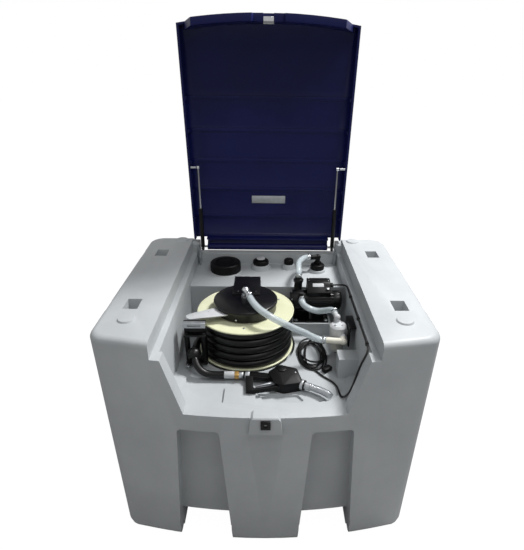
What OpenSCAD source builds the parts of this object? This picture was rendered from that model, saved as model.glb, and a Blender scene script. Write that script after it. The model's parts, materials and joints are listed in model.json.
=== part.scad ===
// Portable diesel tank: a moulded tank with a pump compartment under a hinged lid.
// Millimetres. X to the right, Y to the back, Z up. The origin is on the ground,
// under the middle of the tank, half way between its front corners and its back.

/* [Tank body] */
// Width of the tank
body_w = 1100; // [1040:10:1160]
// Depth from the back face to the front corners
body_d = 886; // [860:2:940]
// Height of the shoulders
body_h = 915; // [900:5:960]
// How far the middle of the front face bows out
front_bow = 57; // [30:1:70]
// Radius of the upright corners
corner_r = 60; // [40:5:90]
// Radius round the shoulder edges
shoulder_r = 22; // [12:2:30]
// Radius round the bottom edges
bottom_r = 48; // [30:2:60]

/* [Compartment] */
// Width between the shoulders
gap_w = 706; // [690:2:730]
// Height of the ledge that the lid's rim comes down to
ledge_z = 856; // [850:1:860]
// Width of that ledge
ledge_w = 21; // [18:1:24]
// Height of the compartment floor
floor_z = 640; // [630:1:645]
// Place of the inner face of the front wall
front_wall_y = -425; // [-430:1:-420]
// Height of the lip below the front notch
lip_z = 652; // [648:1:654]
// Width of the notch at the ledge
notch_top_w = 644; // [640:2:650]
// Width of the notch at the lip
notch_low_w = 532; // [520:2:540]
// Place of the shelf's front wall
shelf_y = 146; // [144:1:150]
// Height of the back shelf that carries the caps
shelf_z = 800; // [798:1:804]
// Inner face of the back wall
back_wall_y = 400; // [396:1:402]
// Height of the back wall between the hinge posts
back_wall_z = 850; // [840:1:852]
// Height of the hinge posts
post_z = 905; // [900:1:908]
// Width of each hinge post
post_w = 31; // [28:1:32]

/* [Front and legs] */
// Height of the top of the front recesses
recess_z = 584; // [560:2:600]
// Depth of the front recesses
recess_d = 60; // [40:2:70]
// Half width of the middle leg at the ground
leg_in_low = 124; // [115:1:135]
// Half width of the middle leg at the top of the recesses
leg_in_top = 153; // [145:1:160]
// Inner side of the outer legs at the ground
leg_out_low = 331; // [320:1:340]
// Inner side of the outer legs at the top of the recesses
leg_out_top = 295; // [285:1:305]
// Height of the fork tunnels
tunnel_h = 110; // [90:2:130]

/* [Shoulder fittings] */
// Distance of the sling slots from the middle
sling_x = 461; // [450:1:470]
// Place of the front sling slots
sling_front_y = -225; // [-240:1:-210]
// Place of the back sling slots
sling_back_y = 243; // [230:1:260]
// Width of a sling slot
sling_w = 50; // [40:1:60]
// Length of a sling slot
sling_l = 72; // [60:1:80]
// Depth of a sling slot
sling_deep = 90; // [60:5:110]
// Depth of the upright flutes in the tank's sides
flute_d = 8; // [4:1:12]
// Radius of the round nubs on the shoulders
nub_r = 30; // [24:1:34]

/* [Lid] */
// Running gap between the lid and the shoulders
lid_gap = 8; // [6:1:12]
// Gap between the lid's rim and the ledge
rim_gap = 3; // [2:1:5]
// Height of the lid above its rim at the sides
lid_h = 58; // [50:1:64]
// Further rise of the lid's crown
lid_crown = 20; // [10:1:24]
// Wall of the lid
lid_wall = 8; // [6:1:10]
// Thickness of the front flap
flap_t = 24; // [18:1:28]
// Opening angle of the lid at rest
lid_open = 87.9; // [80:0.1:95]
// Place of the hinge axis
hinge_y = 424; // [420:1:426]
// Height of the hinge axis
hinge_z = 876; // [874:1:880]
// Radius of the hinge barrel
barrel_r = 15; // [12:1:17]
// Radius of the hinge pins
pin_r = 5; // [4:0.5:6]

/* [Hose reel] */
// Centre of the reel, sideways
reel_x = -82; // [-90:1:-78]
// Centre of the reel, front to back
reel_y = -53; // [-56:1:-50]
// Radius of the reel's flanges
flange_r = 188; // [180:1:189]
// Underside of the lower flange
reel_low_z = 640; // [636:1:644]
// Top of the upper flange
reel_top_z = 803; // [800:1:806]
// Thickness of the flanges
flange_t = 4; // [3:0.5:6]
// Outer diameter of the delivery hose
hose_d = 30; // [26:1:32]
// Turns side by side on the drum
hose_rows = 5; // [4:1:5]
// Radius of the spring housing
housing_r = 123; // [110:1:128]
// Height of the spring housing
housing_h = 42; // [36:1:46]
// Depth of the round well below the compartment floor
well_deep = 40; // [30:1:50]
// Radius of that well
well_r = 197; // [194:1:197]

/* [Pump] */
// Left end of the pump motor
motor_x = 166; // [160:1:172]
// Length of the pump motor
motor_l = 146; // [130:1:150]
// Radius of the pump motor
motor_r = 41; // [38:1:43]
// Motor axis, front to back
motor_y = 84; // [80:1:90]
// Motor axis, height
motor_z = 772; // [768:1:778]
// Height of the moulded pedestal below the pump
pedestal_h = 54; // [40:1:60]

/* [Power cable] */
// Diameter of the power cable
cable_d = 7; // [6:0.5:8]

/* [Hidden] */

$fn = 48;
eps = 0.01;
big = 2000;

front_y = -body_d / 2;
back_y = body_d / 2;
inner_w = gap_w - 2 * ledge_w;
lid_hw = gap_w / 2 - lid_gap;
rim_z = ledge_z + rim_gap;
bow_hw = body_w / 2 - corner_r;
post_y = back_wall_y - 4;
post_cut = 10;

// y of the bowed front face at a given x
function bow_y(x) = front_y - front_bow * (1 - pow(x / bow_hw, 2));

// points of an arc
function arc(c, r, a0, a1, n) =
    [for (i = [0:n]) c + r * [cos(a0 + (a1 - a0) * i / n), sin(a0 + (a1 - a0) * i / n)]];

// the bowed front line from x0 to x1, moved out by off
function bow_line(x0, x1, n, off = 0) =
    [for (i = [0:n]) let (x = x0 + (x1 - x0) * i / n) [x, bow_y(x) - off]];

// a smooth curve through hand-chosen points, k steps to each span
function spline(p, k) = concat(
    [for (i = [0:len(p) - 2], j = [0:k - 1])
        let (t = j / k, a = p[max(i - 1, 0)], b = p[i], c = p[i + 1],
            d = p[min(i + 2, len(p) - 1)])
        0.5 * ((2 * b) + (c - a) * t + (2 * a - 5 * b + 4 * c - d) * t * t
            + (3 * b - a - 3 * c + d) * t * t * t)],
    [p[len(p) - 1]]);

function unit(v) = v / norm(v);

// a round tube swept along points, made as one closed mesh
module tube(p, r, sides) {
    n = len(p);
    dirs = [for (i = [0:n - 1]) unit(p[min(i + 1, n - 1)] - p[max(i - 1, 0)])];
    side = [for (d = dirs) unit(cross(abs(d[2]) > 0.9 ? [1, 0, 0] : [0, 0, 1], d))];
    pts = [for (i = [0:n - 1], j = [0:sides - 1])
        p[i] + r * (cos(360 * j / sides) * side[i] + sin(360 * j / sides) * cross(dirs[i], side[i]))];
    walls = [for (i = [0:n - 2], j = [0:sides - 1])
        let (k = (j + 1) % sides)
        [i * sides + j, (i + 1) * sides + j, (i + 1) * sides + k, i * sides + k]];
    polyhedron(pts, concat([[for (j = [0:sides - 1]) j]], walls,
        [[for (j = [0:sides - 1]) n * sides - 1 - j]]), convexity = 10);
}

// a cylinder from one point to another
module rod(a, b, r) {
    v = b - a;
    translate(a)
        rotate([0, acos(v[2] / norm(v)), atan2(v[1], v[0])])
            cylinder(r = r, h = norm(v));
}

// extrude a front view outline, drawn as [x, z], from y0 to y1
module along_y(y0, y1) {
    translate([0, y1, 0])
        rotate([90, 0, 0])
            linear_extrude(y1 - y0)
                children();
}

// extrude a side view outline, drawn as [y, z], from x0 to x1
module along_x(x0, x1) {
    translate([x0, 0, 0])
        rotate([90, 0, 90])
            linear_extrude(x1 - x0)
                children();
}

module mirrored() {
    children();
    mirror([1, 0, 0])
        children();
}

// Tank body

// plan outline of the body, moved in by i
module body_plan(i) {
    hw = body_w / 2 - i;
    r = corner_r - i * 0.6;
    polygon(concat(
        bow_line(-hw + r, hw - r, 14, -i),
        arc([hw - r, front_y + i + r], r, -90, 0, 5),
        arc([hw - r, back_y - i - r], r, 0, 90, 5),
        arc([-hw + r, back_y - i - r], r, 90, 180, 5),
        arc([-hw + r, front_y + i + r], r, 180, 270, 5)));
}

// upright prisms that step in towards the top and bottom round off all the edges
module body_form() {
    steps = 4;
    hull() {
        for (k = [1:steps]) {
            low_in = bottom_r * (1 - sin(90 * k / steps));
            low_z = bottom_r * (1 - cos(90 * k / steps));
            translate([0, 0, low_z])
                linear_extrude(body_h / 2 - low_z)
                    body_plan(low_in);
            top_in = shoulder_r * (1 - sin(90 * k / steps));
            top_z = body_h - shoulder_r * (1 - cos(90 * k / steps));
            translate([0, 0, body_h / 2])
                linear_extrude(top_z - body_h / 2)
                    body_plan(top_in);
        }
        translate([0, 0, shoulder_r])
            linear_extrude(body_h - shoulder_r)
                body_plan(shoulder_r);
        linear_extrude(body_h / 2)
            body_plan(bottom_r);
    }
}

module floor_plan() {
    r = 135;
    x = inner_w / 2;
    polygon(concat([[x, shelf_y], [-x, shelf_y], [-x, front_wall_y + r + 30]],
        arc([-x + r + 45, front_wall_y + r], r, 180, 270, 8),
        arc([x - r - 45, front_wall_y + r], r, 270, 360, 8),
        [[x, front_wall_y + r + 30]]));
}

module compartment_cut() {
    // between the shoulders, above the ledge
    translate([-gap_w / 2, -big / 2, ledge_z])
        cube([gap_w, big / 2 + post_y, big]);
    // below the ledge, in front of the shelf, down to the lip
    translate([-inner_w / 2, front_wall_y, lip_z])
        cube([inner_w, shelf_y - front_wall_y, big]);
    // from the lip down to the floor, with wide round front corners
    translate([0, 0, floor_z])
        linear_extrude(lip_z - floor_z + 1)
            floor_plan();
    // shallow pocket at the front
    translate([0, 0, floor_z - 8])
        linear_extrude(9)
            polygon([[-30, front_wall_y + 58], [110, front_wall_y + 52], [129, front_wall_y + 26],
                [101, front_wall_y], [7, front_wall_y]]);
    // above the shelf
    translate([-inner_w / 2, shelf_y - 1, shelf_z])
        cube([inner_w, back_wall_y - shelf_y + 1, big]);
    // over the back wall and over the hinge posts
    translate([-gap_w / 2 + post_w, post_y - 1, back_wall_z])
        cube([gap_w - 2 * post_w, big, big]);
    translate([-gap_w / 2, post_y - 1, post_z])
        cube([gap_w, big, big]);
    // the posts' front edge is cut back, clear of the lid's swing
    along_x(-gap_w / 2, gap_w / 2)
        polygon([[post_y - 1, post_z - post_cut], [post_y, post_z - post_cut], [post_y + post_cut, post_z],
            [post_y + post_cut, post_z + 1], [post_y - 1, post_z + 1]]);
    // notch through the front wall
    along_y(-big / 2, front_wall_y + 1)
        polygon([[-notch_low_w / 2, lip_z], [notch_low_w / 2, lip_z],
            [notch_top_w / 2, ledge_z + 1], [-notch_top_w / 2, ledge_z + 1]]);
    // round well below the reel
    translate([reel_x, reel_y, floor_z - well_deep])
        cylinder(r = well_r, h = well_deep + 1, $fn = 96);
}

// one fork recess in the front face, with its rounded upper corners
module recess_outline() {
    r = 16;
    polygon(concat(
        [[leg_in_low, -1], [leg_out_low, -1]],
        arc([leg_out_top - r, recess_z - r], r, 0, 90, 5),
        arc([leg_in_top + r, recess_z - r], r, 90, 180, 5)));
}

module fork_cuts() {
    mirrored() {
        // recess, its back panel parallel to the bowed face
        intersection() {
            along_y(-big / 2, 0)
                recess_outline();
            translate([0, 0, -1])
                linear_extrude(recess_z + 2)
                    polygon(concat([[body_w, -big / 2], [0, -big / 2]],
                        bow_line(0, body_w / 2, 8, -recess_d)));
        }
        // tunnel from front to back
        translate([leg_in_low + 4, -big / 2, -1])
            cube([leg_out_low - leg_in_low - 8, big, tunnel_h + 1]);
    }
}

module sling_cuts() {
    mirrored() {
        for (y = [sling_front_y, sling_back_y]) {
            translate([sling_x - sling_w / 2, y - sling_l / 2, body_h - sling_deep])
                cube([sling_w, sling_l, sling_deep + 1]);
            translate([0, y, bottom_r])
                linear_extrude(big)
                    polygon([[body_w / 2 + 1, -sling_l / 2 - 12], [body_w / 2 - flute_d, -sling_l / 2],
                        [body_w / 2 - flute_d, sling_l / 2], [body_w / 2 + 1, sling_l / 2 + 12]]);
        }
    }
}

boss_out = 16;
boss_top_z = 664;
boss_low_z = 585;

// block on the front face that carries the latch striker and rises above the lip
module latch_boss() {
    y0 = bow_y(0) - boss_out;
    intersection() {
        along_y(y0, front_wall_y)
            polygon([[-57, boss_low_z], [57, boss_low_z], [48, boss_top_z - 12],
                [40, boss_top_z], [-40, boss_top_z], [-48, boss_top_z - 12]]);
        along_x(-60, 60)
            polygon([[y0 + 42, boss_top_z], [y0 + 4, boss_top_z], [y0, boss_top_z - 4],
                [y0, boss_low_z + 10], [bow_y(0) + 2, boss_low_z], [y0 + 42, boss_low_z]]);
    }
}

// collars and pedestals that are moulded with the tank
filler_c = [-193, 310];
vent_c = [-31, 345];
gauge_c = [100, 348];
suction_c = [232, 317];
collar_h = 22;
filter_block_y = -278;
filter_block_z = 722;

module moulded_seats() {
    translate([filler_c[0], filler_c[1], shelf_z - 1])
        cylinder(r1 = 76, r2 = 72, h = 6);
    translate([vent_c[0], vent_c[1], shelf_z - 1])
        cylinder(r1 = 46, r2 = 40, h = collar_h + 1);
    translate([gauge_c[0], gauge_c[1], shelf_z - 1])
        cylinder(r1 = 32, r2 = 26, h = collar_h + 1);
    translate([suction_c[0], suction_c[1], shelf_z - 1])
        cylinder(r1 = 40, r2 = 36, h = 13);
    // pump pedestal, cut back round the reel's well
    difference() {
        translate([96, 14, floor_z - 1])
            cube([172, shelf_y - 13, pedestal_h + 1]);
        translate([reel_x, reel_y, floor_z - 2])
            cylinder(r = well_r, h = pedestal_h + 4, $fn = 96);
    }
    // raised pad at the front
    translate([-143, front_wall_y - 1, floor_z - 1])
        cube([107, 86, lip_z - floor_z + 1]);
    // block beside the filter
    translate([260, filter_block_y, floor_z - 1])
        cube([inner_w / 2 - 259, 63, filter_block_z - floor_z + 1]);
}

module tank_body() {
    color("#9a9fa3") {
        difference() {
            union() {
                difference() {
                    body_form();
                    compartment_cut();
                }
                moulded_seats();
                latch_boss();
                mirrored() {
                    for (p = [[452, -330], [400, 398]])
                        translate([p[0], p[1], body_h - 1])
                            cylinder(r1 = nub_r, r2 = nub_r - 4, h = 7);
                }
            }
            fork_cuts();
            sling_cuts();
            // holes for the hinge pins
            mirrored()
                translate([gap_w / 2 - post_w - 1, hinge_y, hinge_z])
                    rotate([0, 90, 0])
                        cylinder(r = pin_r, h = post_w - 2);
        }
    }
}

module hinge_pins() {
    color("#b9bcc0")
        mirrored()
            translate([tongue_hw - 34, hinge_y, hinge_z])
                rotate([0, 90, 0])
                    cylinder(r = pin_r, h = gap_w / 2 - 3 - tongue_hw + 34);
}

// Caps on the shelf

// a screw cap with upright grip ribs round its side
module grip_cap(r, h, ribs) {
    cylinder(r = r - 1.5, h = h - 3);
    translate([0, 0, h - 3])
        cylinder(r1 = r - 1.5, r2 = r - 5, h = 3);
    for (i = [0:ribs - 1])
        rotate(360 * i / ribs)
            translate([r - 3, -1.5, 0])
                cube([3, 3, h - 5]);
}

module filler_cap() {
    color("#1b1c1e")
        translate([filler_c[0], filler_c[1], shelf_z + 5])
            grip_cap(70, 41, 24);
}

module vent_cap() {
    color("#1b1c1e")
        translate([vent_c[0], vent_c[1], shelf_z + collar_h]) {
            grip_cap(37, 20, 12);
            translate([0, 0, 20])
                cylinder(r = 22, h = 6);
        }
}

module gauge_cap() {
    color("#1b1c1e")
        translate([gauge_c[0], gauge_c[1], shelf_z + collar_h]) {
            grip_cap(22, 24, 12);
        }
}

module suction_cap() {
    color("#1b1c1e")
        translate([suction_c[0], suction_c[1], shelf_z + 12])
            grip_cap(32, 24, 12);
}

// Suction side

suction_top_z = 870;
barb_r = 9;
clear_r = 13;

module suction_elbow() {
    color("#222326") {
        p = [suction_c[0], suction_c[1], suction_top_z];
        translate([p[0], p[1], shelf_z + 36])
            cylinder(r = 16, h = 12, $fn = 6);
        translate([p[0], p[1], shelf_z + 48])
            cylinder(r = 11, h = suction_top_z - shelf_z - 48);
        translate(p)
            sphere(r = 13);
        rod(p, p + [-34, -6, 0], 11);
    }
}

suction_route = [[195.6, 311, 870], [180, 308, 872], [165, 289, 876], [151, 258, 880], [140, 222, 884],
    [135, 185, 888], [133, 152, 890], [132, 129, 888], [131.5, 114, 878], [131.5, 112, 866.5]];

module suction_hose() {
    color("#d9e4e6", 0.5)
        tube(spline(suction_route, 3), clear_r, 12);
}

// Pump

pump_x = 131;
pump_head_y = 88;
pump_head_r = 44;
pump_foot_z = floor_z + pedestal_h;
outlet_p = [143, 38, 796];

module pump_base() {
    color("#2a2b2e") {
        difference() {
            translate([112, 24, pump_foot_z])
                cube([146, 112, 6]);
            for (x = [122, 248], y = [34, 126])
                translate([x, y, pump_foot_z - 1])
                    cylinder(r = 4.5, h = 8);
        }
        // two upright saddles below the motor
        for (x = [178, 240])
            along_x(x, x + 12)
                difference() {
                    polygon([[46, pump_foot_z + 5], [122, pump_foot_z + 5], [112, 750], [56, 750]]);
                    translate([motor_y, motor_z])
                        circle(r = motor_r + 0.3);
                }
    }
}

module pump_motor() {
    color("#1d1e21") {
        translate([motor_x, motor_y, motor_z])
            rotate([0, 90, 0]) {
                cylinder(r = motor_r - 4, h = motor_l - 8);
                // end bell
                translate([0, 0, motor_l - 34])
                    cylinder(r = motor_r, h = 26);
                translate([0, 0, motor_l - 8])
                    cylinder(r1 = motor_r, r2 = motor_r - 9, h = 8);
                // cooling fins
                for (i = [0:17])
                    rotate(10 + 20 * i)
                        translate([motor_r - 6, -1.5, 4])
                            cube([6, 3, motor_l - 40]);
            }
    }
}

module pump_head() {
    color("#232427") {
        translate([pump_x - 26, pump_head_y, motor_z - 4])
            rotate([0, 90, 0]) {
                cylinder(r = pump_head_r, h = 61);
                // front cover with its bolts' ring
                translate([0, 0, -8])
                    cylinder(r1 = pump_head_r - 12, r2 = pump_head_r - 8, h = 8);
            }
        // inlet fitting on top
        translate([pump_x + 0.5, 112, motor_z])
            cylinder(r = 17, h = 84);
        translate([pump_x + 0.5, 112, motor_z + 84])
            cylinder(r = 14, h = 10);
        translate([pump_x + 0.5, 112, motor_z + 70])
            cylinder(r = 21, h = 14, $fn = 6);
        // outlet fitting at the front
        translate([outlet_p[0], 74, outlet_p[2]])
            rotate([90, 0, 0])
                cylinder(r = 12, h = 74 - outlet_p[1]);
        translate([outlet_p[0], 62, outlet_p[2]])
            rotate([90, 0, 0])
                cylinder(r = 17, h = 14, $fn = 6);
    }
}

box_low_z = motor_z + motor_r + 0.3;
box_top_z = 850;

module pump_terminal_box() {
    color("#202124") {
        difference() {
            along_x(motor_x + 1, motor_x + 98)
                polygon([[54, box_low_z - 14], [54, box_low_z + 6], [92, box_top_z], [130, box_top_z],
                    [130, box_low_z - 8], [112, box_low_z - 14]]);
            translate([160, motor_y, motor_z])
                rotate([0, 90, 0])
                    cylinder(r = motor_r + 0.3, h = 110);
        }
        // cable gland on the right end
        translate([264, 84, 838])
            rotate([0, 90, 0])
                cylinder(r = 7, h = 12);
    }
}

// Filter and its plumbing

filter_x = 272;
filter_y = -136;
head_low_z = 738;
head_top_z = 786;
elbow_z = 742;

inlet_p = [268, -114, 802];
transfer_route = [[143, 37.5, 796], [143, 27, 796], [143.8, 18, 794.4], [149, 9, 789], [160, 3, 781],
    [178, -1, 773], [206, -9, 769], [232, -27, 781], [249, -47, 795], [258.5, -62, 801],
    [261.8, -74, 802], [263.9, -86.8, 802]];

module transfer_hose() {
    color("#d9e4e6", 0.5)
        tube(spline(transfer_route, 3), clear_r, 12);
}

module filter_head() {
    color("#b8bbbf") {
        translate([filter_x, filter_y, head_low_z])
            cylinder(r = 33, h = head_top_z - head_low_z - 8);
        translate([filter_x, filter_y, head_top_z - 8])
            cylinder(r1 = 33, r2 = 24, h = 8);
        // lugs to the bracket and to the outlet
        translate([filter_x, filter_y - 16, head_low_z + 8])
            cube([34, 32, 22]);
        rod([filter_x + 14, filter_y - 28.6, elbow_z], [filter_x + 14, filter_y - 38, elbow_z], 16);
        // inlet elbow on top, its end towards the transfer hose
        translate([inlet_p[0], inlet_p[1], head_top_z - 1])
            cylinder(r = 12, h = inlet_p[2] - head_top_z + 1);
        translate(inlet_p)
            sphere(r = 13);
        rod(inlet_p, inlet_p + [-4, 26.7, 0], 10);
    }
}

module filter_bowl() {
    color("#cfd8da", 0.6) {
        translate([filter_x, filter_y, 672])
            cylinder(r1 = 24, r2 = 28, h = head_low_z - 0.3 - 672);
        translate([filter_x, filter_y, 664])
            cylinder(r1 = 10, r2 = 18, h = 8.5);
    }
}

module filter_bracket() {
    color("#26272a") {
        translate([filter_x + 34.3, filter_y - 46, 712])
            cube([6, 92, 84]);
        translate([filter_x + 40, filter_y - 46, 790])
            cube([inner_w / 2 - filter_x - 40, 92, 6]);
    }
}

module feed_elbow() {
    color("#d8d3c0") {
        rod([filter_x + 14, filter_y - 38.3, elbow_z], [filter_x + 14, filter_y - 54, elbow_z], 13);
        translate([filter_x + 14, filter_y - 54, elbow_z])
            sphere(r = 14);
        rod([filter_x + 14, filter_y - 54, elbow_z], [222.5, -181, elbow_z - 1], 12);
    }
}

feed_route = [[221.6, -180.9, 741], [206, -178.7, 740.8], [190, -178, 745], [165, -181, 759],
    [139, -188, 778], [104, -199, 801], [71, -206, 823], [44, -209, 839], [18, -206, 853],
    [-6, -192, 862], [-28, -168, 867], [-46, -138, 870.5], [-58, -111.9, 873.7], [-67.8, -87.5, 877.9]];

module feed_hose() {
    color("#d9e4e6", 0.5)
        tube(spline(feed_route, 3), clear_r, 12);
}

// Hose reel

well_z = floor_z - well_deep;
housing_z = reel_top_z + 5;
housing_top = housing_z + housing_h;
shaft_r = 12;

module reel_stand() {
    color("#2c2d30")
        translate([reel_x, reel_y, well_z]) {
            cylinder(r = 70, h = 8);
            cylinder(r = 26, h = reel_low_z - well_z - 5);
            cylinder(r = shaft_r, h = housing_z - well_z);
        }
}

module reel_housing() {
    color("#1c1d1f")
        translate([reel_x, reel_y, housing_z]) {
            cylinder(r = housing_r - 4, h = housing_h - 8, $fn = 72);
            // cover with a turned-down rim
            translate([0, 0, housing_h - 12])
                cylinder(r = housing_r, h = 9, $fn = 72);
            translate([0, 0, housing_h - 3])
                cylinder(r1 = housing_r, r2 = housing_r - 4, h = 3, $fn = 72);
        }
}

module reel_bracket() {
    color("#232427") {
        w = 108;
        along_x(reel_x - w / 2, reel_x + w / 2)
            polygon([[reel_y + 22, housing_top], [reel_y + 22, housing_top + 5], [132, housing_top + 5],
                [shelf_y + 12, shelf_z + 5], [shelf_y + 52, shelf_z + 5], [shelf_y + 52, shelf_z],
                [shelf_y + 6, shelf_z], [127, housing_top]]);
    }
}

swivel_z = 884;
swivel_way = [14, -34, -6];

module reel_swivel() {
    color("#c3c6ca") {
        translate([reel_x, reel_y, housing_top]) {
            cylinder(r = 17, h = 10, $fn = 6);
            cylinder(r = 12, h = swivel_z - housing_top);
        }
        translate([reel_x, reel_y, swivel_z])
            sphere(r = 14);
        rod([reel_x, reel_y, swivel_z], [reel_x, reel_y, swivel_z] + swivel_way, 11);
    }
}

bore_gap = 0.08;
row_pitch = (reel_top_z - reel_low_z - 2 * flange_t) / hose_rows;
wind_r = 168;
core_r = 110;

module reel_drum() {
    color("#dfe0c4")
        translate([reel_x, reel_y, 0])
            difference() {
                union() {
                    for (z = [reel_low_z, reel_top_z - flange_t])
                        translate([0, 0, z])
                            cylinder(r = flange_r, h = flange_t, $fn = 96);
                    translate([0, 0, reel_low_z])
                        cylinder(r = core_r, h = reel_top_z - reel_low_z);
                    // rolled rims on both flanges
                    for (z = [reel_low_z + flange_t / 2, reel_top_z - flange_t / 2])
                        translate([0, 0, z])
                            rotate_extrude($fn = 96)
                                translate([flange_r - 3.5, 0])
                                    circle(r = 3.5, $fn = 16);
                }
                // hollow below the core and a bore for the shaft
                translate([0, 0, reel_low_z - 4])
                    cylinder(r = 30, h = 10);
                translate([0, 0, reel_low_z - 5])
                    cylinder(r = shaft_r + bore_gap, h = reel_top_z - reel_low_z + 10);
            }
}

module wound_hose() {
    color("#17181a")
        translate([reel_x, reel_y, 0])
            rotate_extrude($fn = 96) {
                translate([core_r + 0.3, reel_low_z + flange_t + 4])
                    square([wind_r - core_r, row_pitch * hose_rows - 8]);
                for (i = [0:hose_rows - 1])
                    translate([wind_r, reel_low_z + flange_t + row_pitch * (i + 0.5)])
                        circle(r = hose_d / 2, $fn = 24);
            }
}

// Hose guide

guide_x = -260;
guide_y = -196;
guide_low_z = 652;
guide_top_z = 830;
guide_w = 80;
window_z = 722;

module guide_arm() {
    color("#c9ccd0")
        translate([0, 0, guide_top_z])
            difference() {
                linear_extrude(4)
                    polygon([[-170, -70], [-196, -104], [-286, -152], [-296, -164], [-290, -182],
                        [-276, -190], [-148, -160], [-120, -140]]);
                translate([reel_x, reel_y, -1])
                    cylinder(r = housing_r - 3.7, h = 6, $fn = 72);
            }
}

module guide_frame() {
    color("#1f2022")
        difference() {
            union() {
                translate([guide_x - guide_w / 2, guide_y, guide_low_z])
                    cube([guide_w, 8, guide_top_z - guide_low_z]);
                // cheeks that hold the rollers
                for (z = [guide_low_z, window_z + 52])
                    translate([guide_x - guide_w / 2, guide_y - 22, z])
                        cube([guide_w, 23, 8]);
            }
            translate([guide_x - 24, guide_y - 1, window_z - 46])
                cube([48, 10, 92]);
        }
}

module guide_rollers() {
    color("#b4b7bb") {
        // upright pair
        for (s = [-1, 1])
            translate([guide_x + s * 30, guide_y - 11, guide_low_z + 8])
                cylinder(r = 8, h = window_z + 44 - guide_low_z);
        // cast head block above the window
        difference() {
            translate([guide_x - guide_w / 2, guide_y - 18.3, guide_top_z - 20])
                cube([guide_w, 18, 20]);
            translate([guide_x - guide_w / 2 + 16, guide_y - 19, guide_top_z - 15])
                cube([guide_w - 32, 8, 10]);
        }
    }
}

// Delivery hose and nozzle

hose_route = [[-255, -150, 722], [-259, -172, 722], [-261, -196, 721], [-263, -226, 717],
    [-258, -254, 704], [-247, -274, 688], [-231, -285, 674], [-209, -289, 665], [-184, -290, 662],
    [-150.5, -290, 662]];
stopper_p = [-263, -236, 714];
stopper_way = [3, -33, -17];

module delivery_hose() {
    color("#17181a")
        tube(spline(hose_route, 2), hose_d / 2 - 1, 12);
}

module hose_stopper() {
    color("#141516")
        difference() {
            translate(stopper_p)
                sphere(r = 25);
            rod(stopper_p - stopper_way, stopper_p + stopper_way, hose_d / 2 - 0.8);
        }
}

module hose_ferrule() {
    color("#b58a3c") {
        rod([-150, -290, 662], [-112, -290, 662], 13);
        translate([-112, -290, 662])
            rotate([0, 90, 0])
                cylinder(r = 16, h = 14, $fn = 6);
        rod([-98.5, -290, 662], [-82, -290, 662], 12);
    }
}

// The nozzle lies on its side: u runs along it, v to its trigger side, w up.
nozzle_p = [-80, -290, 662];
nozzle_turn = -9;

module nozzle_frame() {
    translate(nozzle_p)
        rotate(nozzle_turn)
            children();
}

trigger_p = [120, -24];

module nozzle_body() {
    color("#1a1b1d")
        nozzle_frame() {
            // swivel end, handle and valve body
            rod([0.4, 0, 0], [112, 0, 0], 15);
            difference() {
                hull() {
                    translate([104, 4, -21.7])
                        cylinder(r = 15, h = 42);
                    translate([130, 22, -21.7])
                        cylinder(r = 18, h = 52);
                    translate([174, 16, -21.7])
                        cylinder(r = 18, h = 50);
                    translate([150, -40, -21.7])
                        cylinder(r = 14, h = 40);
                    translate([128, -40, -21.7])
                        cylinder(r = 10, h = 38);
                    translate([194, -20, -20])
                        cylinder(r = 16, h = 38);
                }
                // slot for the trigger
                translate([80, -70, -10])
                    cube([trigger_p[0] + 10 - 80, 58, 20]);
            }
            // round nose
            rod([180, -12, 0], [222, -24, 0], 18);
            // pivot pin of the trigger
            translate([trigger_p[0], trigger_p[1], -11])
                cylinder(r = 3, h = 22);
            // guard
            translate([0, 0, -8])
                linear_extrude(16)
                    difference() {
                        polygon([[6, -6], [112, -6], [150, -44], [126, -58], [50, -88], [26, -90]]);
                        polygon([[36, -15], [144, -15], [138, -40], [118, -50], [54, -76], [48, -70]]);
                    }
        }
}

module nozzle_trigger() {
    color("#c4c7cb")
        nozzle_frame()
            translate([trigger_p[0], trigger_p[1], -5])
                difference() {
                    union() {
                        cylinder(r = 7, h = 10);
                        linear_extrude(10)
                            polygon([[2, -6], [-30, -20], [-66, -40], [-68, -34], [-34, -13], [-4, 5]]);
                    }
                    translate([0, 0, -1])
                        cylinder(r = 3 + bore_gap, h = 12);
                }
}

module nozzle_spout() {
    color("#d3d8d9")
        nozzle_frame() {
            rod([222.4, -24.1, 0], [242, -30, 0], 13);
            tube(spline([[236, -28.2, 0], [252, -33, 0], [268, -39, 0], [284, -47, 1.5], [300, -58, 2.5],
                [312, -70, 3]], 3), 11, 12);
        }
}

// Power cable

cable_r = cable_d / 2;
cable_route = [[276.4, 92, 838], [290, 92, 838], [308, 86, 841], [321, 68, 848], [327, 44, 851],
    [327, 0, 851], [327, -60, 851], [327, -120, 851], [327, -180, 851], [327, -240, 851],
    [327, -300, 851], [327, -376, 851], [325, -396, 849], [318, -411, 838], [306, -416, 810],
    [296, -416.5, 770], [288, -416.5, 730], [278, -416, 692], [266, -410, 666], [256, -398, 656.5],
    [252, -376, 655], [252, -350, 649], [250, -330, 645], [240, -308, 644.2], [222, -288, 644.2],
    [204, -270, 644.6], [192, -258, 647], [188.2, -247, 650.5], [187.6, -240.6, 650.5]];
coil_p = [180, -132];
coil_r = 63;
coil_in = 24;
coil_long = 45;
coil_h = 21;

// outline of the bundle's loops, with round ends
module loops(r) {
    for (s = [-1, 1])
        translate([0, s * coil_long])
            circle(r = r);
    square([2 * r, 2 * coil_long], center = true);
}

module power_cable() {
    color("#141516")
        tube(spline(cable_route, 2), cable_r, 8);
}

module cable_coil() {
    color("#141516")
        translate([coil_p[0], coil_p[1], floor_z + 0.3])
            linear_extrude(coil_h)
                difference() {
                    loops(coil_r);
                    loops(coil_in);
                }
}

module cable_connector() {
    color("#1b1c1e")
        translate([coil_p[0], coil_p[1] - coil_long, floor_z + 0.3])
            rotate(-52)
                translate([coil_r + 0.3, -18, 0])
                    cube([22, 36, 17]);
}

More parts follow.
